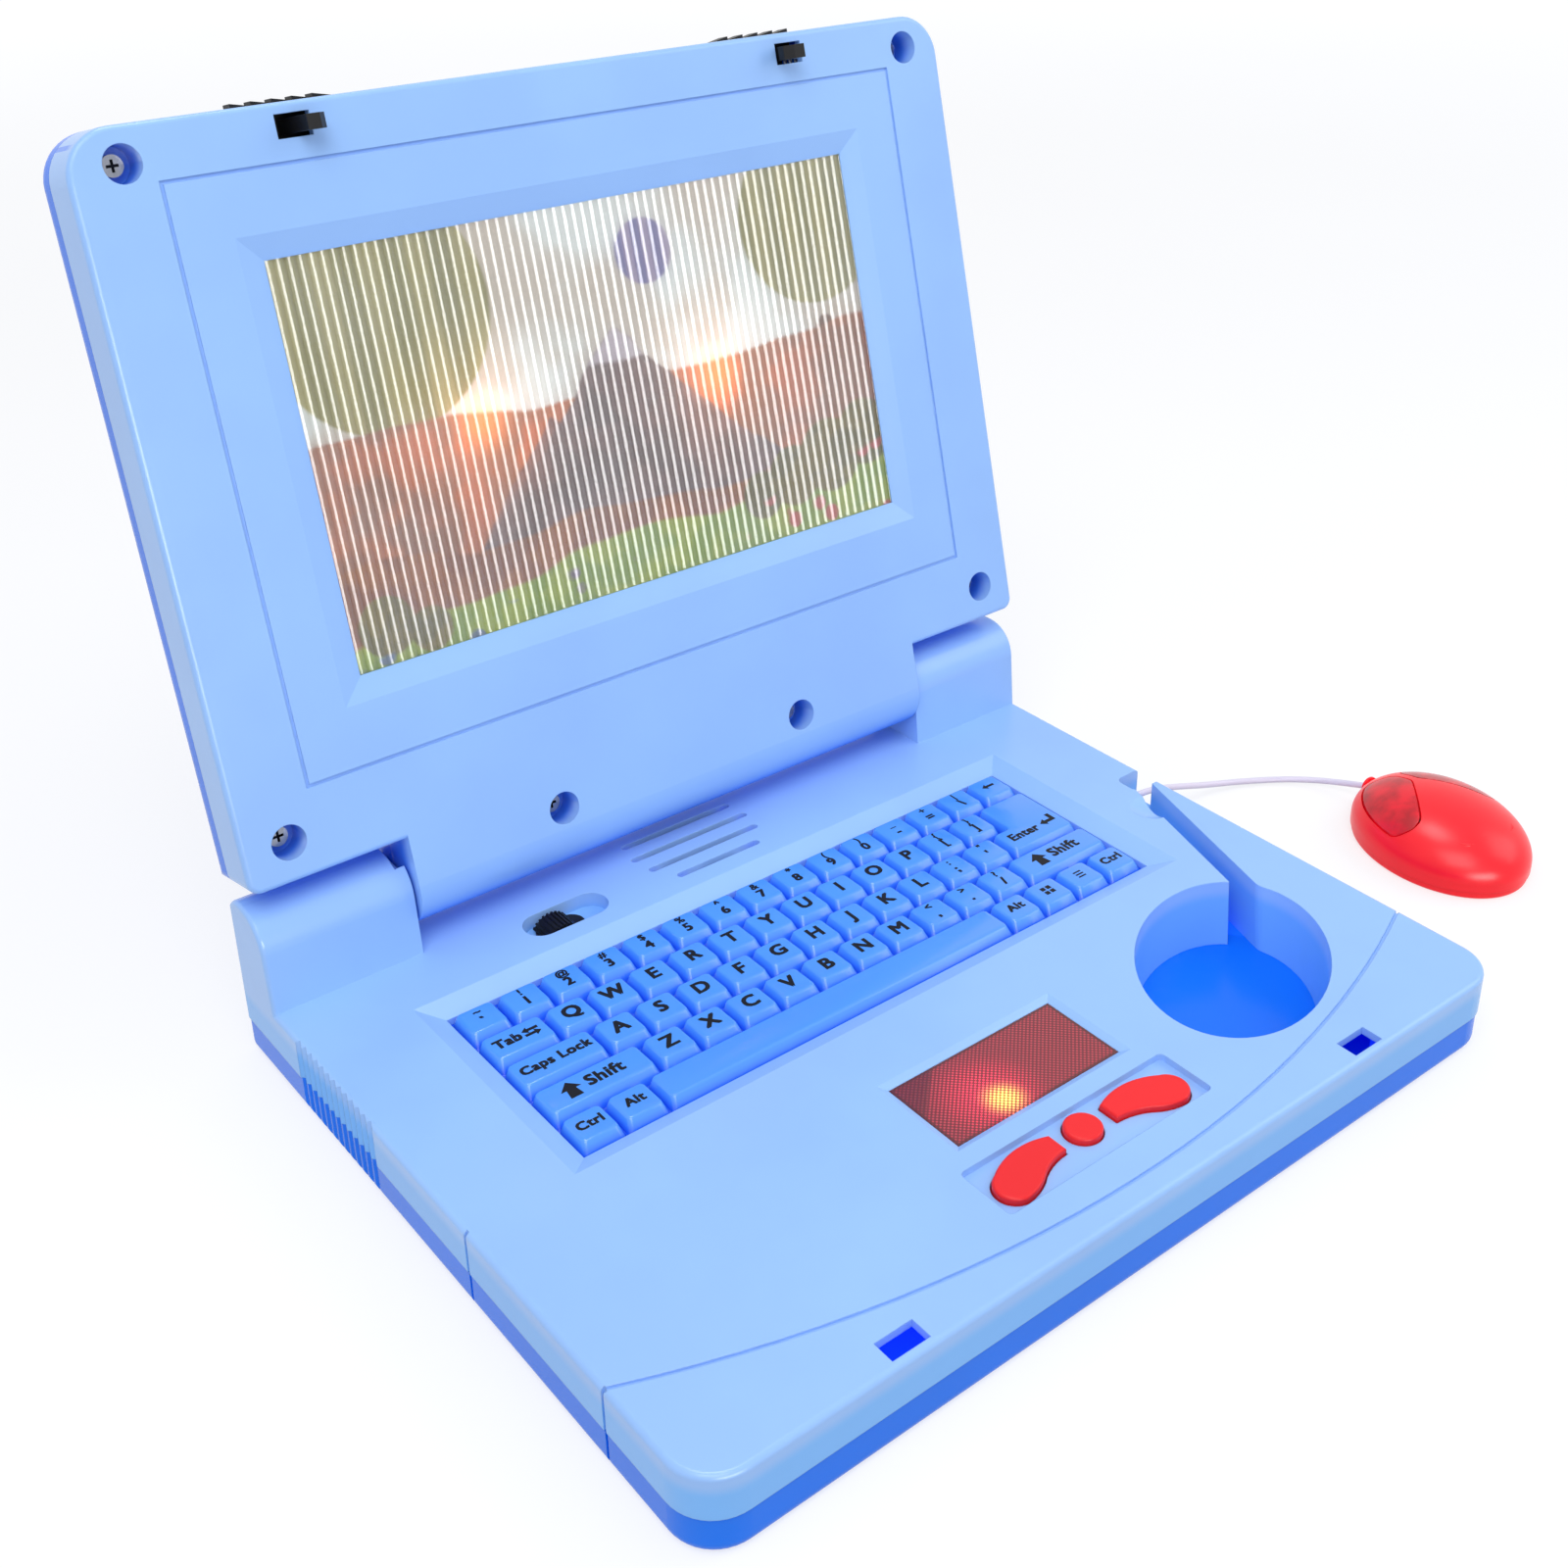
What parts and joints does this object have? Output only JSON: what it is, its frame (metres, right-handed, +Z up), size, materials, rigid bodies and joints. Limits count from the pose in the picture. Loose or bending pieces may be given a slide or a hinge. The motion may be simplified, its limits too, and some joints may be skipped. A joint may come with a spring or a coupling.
{
  "type": "toy laptop computer",
  "caption": "Clamshell toy laptop in two blues with a moulded keyboard, lit picture screen, red buttons and a corded mouse that parks in a recess.",
  "frame": {"origin": "middle of the base's flat underside", "axes": "+X to the right as the user sits, +Y to the back, where the hinge is, +Z up"},
  "size_m": [0.3498, 0.257, 0.2381],
  "materials": {
    "light_blue_plastic": "satin moulded plastic",
    "dark_blue_plastic": "satin moulded plastic",
    "key_plastic": "glossy moulded plastic",
    "red_window": "translucent red plastic",
    "red_plastic": "satin moulded plastic",
    "mouse_plastic": "glossy moulded plastic",
    "black_plastic": "matte moulded plastic",
    "lamp_plastic": "clear lamp body",
    "circuit_board": "green solder mask",
    "membrane_rubber": "matte silicone",
    "contact_metal": "plated sheet metal",
    "screw_steel": "zinc-plated steel",
    "cone_paper": "pressed paper pulp",
    "magnet": "ferrite",
    "cell_jacket": "printed metal jacket",
    "clear_lens": "clear ribbed plastic",
    "picture_card": "printed card",
    "cord_vinyl": "smooth vinyl sleeve"
  },
  "bodies": {
    "base": {"base_top_case": "light_blue_plastic", "base_bottom_case": "dark_blue_plastic", "keyboard_plate": "key_plastic", "touchpad_window": "red_window", "touchpad_lamp": "lamp_plastic", "button_board": "circuit_board", "button_membrane": "membrane_rubber", "main_board": "circuit_board", "main_board_chips": "black_plastic", "power_switch_body": "contact_metal", "speaker_frame": "contact_metal", "speaker_cone": "cone_paper", "speaker_magnet": "magnet", "battery_cover": "dark_blue_plastic", "battery_cover_screw": "screw_steel", "battery_cells": "cell_jacket", "battery_plate_contacts": "contact_metal", "battery_spring_contacts": "contact_metal", "base_screws": "screw_steel", "hinge_pins": "screw_steel", "base_cord_grommet": "black_plastic"},
    "lid": {"lid_front_bezel": "light_blue_plastic", "lid_back_cover": "dark_blue_plastic", "lid_screws": "screw_steel", "screen_lens": "clear_lens", "screen_picture_card": "picture_card", "screen_lamp_board": "circuit_board", "screen_lamps": "lamp_plastic", "left_latch_spring": "screw_steel", "right_latch_spring": "screw_steel"},
    "left_latch": {"left_latch": "black_plastic"},
    "right_latch": {"right_latch": "black_plastic"},
    "left_button": {"left_button": "red_plastic"},
    "center_button": {"center_button": "red_plastic"},
    "right_button": {"right_button": "red_plastic"},
    "power_knob": {"power_switch_knob": "black_plastic"},
    "mouse": {"mouse_top_shell": "mouse_plastic", "mouse_bottom_plate": "mouse_plastic", "mouse_board": "circuit_board", "mouse_switches": "black_plastic", "mouse_screws": "screw_steel", "mouse_cord": "cord_vinyl", "mouse_cord_grommet": "mouse_plastic"},
    "mouse_left_key": {"mouse_left_button": "mouse_plastic"},
    "mouse_right_key": {"mouse_right_button": "mouse_plastic"}
  },
  "joints": [
    {"name": "lid_hinge", "type": "hinge", "parent": "base", "child": "lid", "pos_m": [0, 0.09646, 0.03872], "axis": [1, 0, 0], "range_deg": [-20, 103.79]},
    {"name": "left_latch_slide", "type": "slide", "parent": "lid", "child": "left_latch", "axis": [-1, 0, 0], "range_m": [0, 0.0035], "stiffness_N_per_m": 400, "springref_m": -0.003, "deforming": ["left_latch_spring"]},
    {"name": "right_latch_slide", "type": "slide", "parent": "lid", "child": "right_latch", "axis": [1, 0, 0], "range_m": [0, 0.0035], "stiffness_N_per_m": 400, "springref_m": -0.003, "deforming": ["right_latch_spring"]},
    {"name": "left_button_press", "type": "slide", "parent": "base", "child": "left_button", "axis": [0, 0, -1], "range_m": [0, 0.0015], "stiffness_N_per_m": 500, "springref_m": -0.0015},
    {"name": "center_button_press", "type": "slide", "parent": "base", "child": "center_button", "axis": [0, 0, -1], "range_m": [0, 0.0015], "stiffness_N_per_m": 500, "springref_m": -0.0015},
    {"name": "right_button_press", "type": "slide", "parent": "base", "child": "right_button", "axis": [0, 0, -1], "range_m": [0, 0.0015], "stiffness_N_per_m": 500, "springref_m": -0.0015},
    {"name": "power_knob_slide", "type": "slide", "parent": "base", "child": "power_knob", "axis": [1, 0, 0], "range_m": [0, 0.007]},
    {"name": "mouse_swing", "type": "hinge", "parent": "base", "child": "mouse", "pos_m": [0.1212, 0.0224, 0.0172], "axis": [0, 0, 1], "range_deg": [-12, 12]},
    {"name": "mouse_left_press", "type": "slide", "parent": "mouse", "child": "mouse_left_key", "axis": [0, 0, -1], "range_m": [0, 0.0008], "stiffness_N_per_m": 500, "springref_m": -0.0015},
    {"name": "mouse_right_press", "type": "slide", "parent": "mouse", "child": "mouse_right_key", "axis": [0, 0, -1], "range_m": [0, 0.0008], "stiffness_N_per_m": 500, "springref_m": -0.0015}
  ]
}
